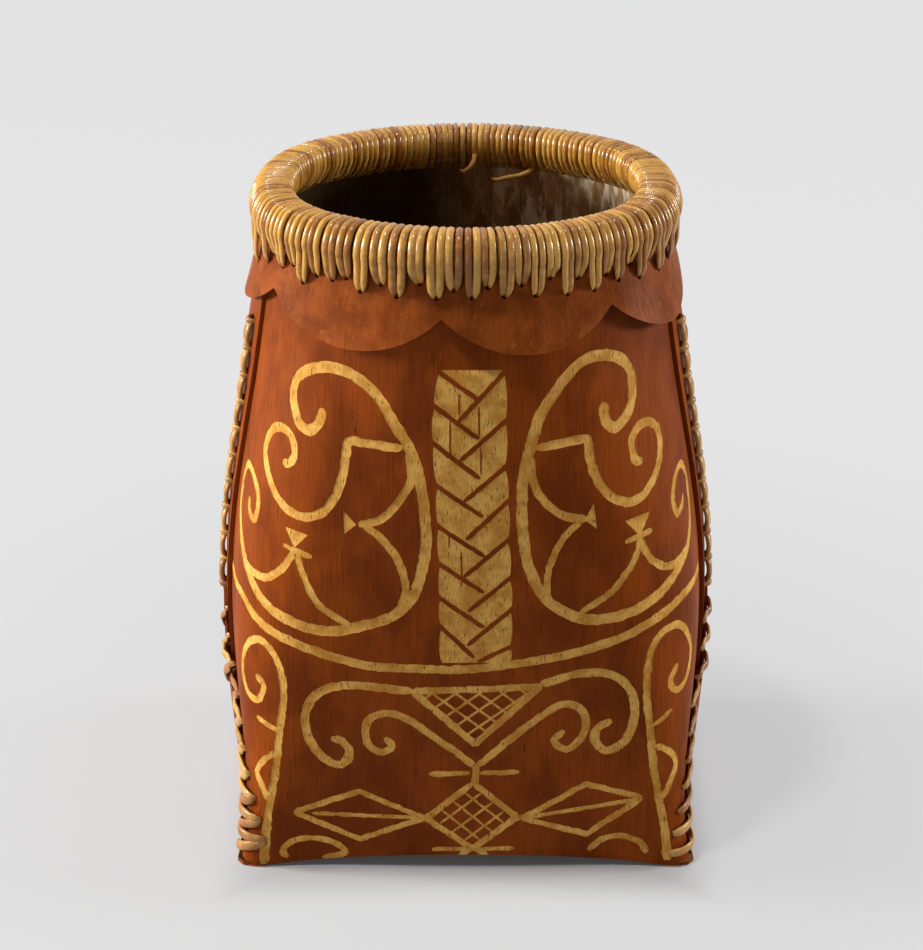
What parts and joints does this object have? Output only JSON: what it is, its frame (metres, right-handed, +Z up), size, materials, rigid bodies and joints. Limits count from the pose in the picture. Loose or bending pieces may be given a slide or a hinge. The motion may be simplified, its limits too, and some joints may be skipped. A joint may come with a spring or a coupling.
{
  "type": "birch bark box",
  "caption": "Open birch bark container folded from one sheet, with a scalloped collar and a hooped rim lashed with split root.",
  "frame": {"origin": "middle of the resting plane, under the middle of the base", "axes": "+Z up out of the open mouth, +X to the right end, the decorated front panel faces -Y"},
  "size_m": [0.2442, 0.1936, 0.3251],
  "materials": {
    "winter_bark": "satin",
    "collar_bark": "satin",
    "hoop_wood": "satin",
    "rim_root": "satin",
    "seam_root": "satin"
  },
  "bodies": {
    "root": {"bark_body": "winter_bark", "collar": "collar_bark", "outer_hoop": "hoop_wood", "inner_hoop": "hoop_wood", "rim_root_01": "rim_root", "rim_root_02": "rim_root", "rim_root_03": "rim_root", "rim_root_04": "rim_root", "rim_root_05": "rim_root", "rim_root_06": "rim_root", "rim_root_07": "rim_root", "rim_root_08": "rim_root", "rim_root_09": "rim_root", "rim_root_10": "rim_root", "rim_root_11": "rim_root", "left_seam_root": "seam_root", "right_seam_root": "seam_root", "left_front_flap_root": "seam_root", "left_back_flap_root": "seam_root", "right_front_flap_root": "seam_root", "right_back_flap_root": "seam_root"}
  },
  "joints": []
}
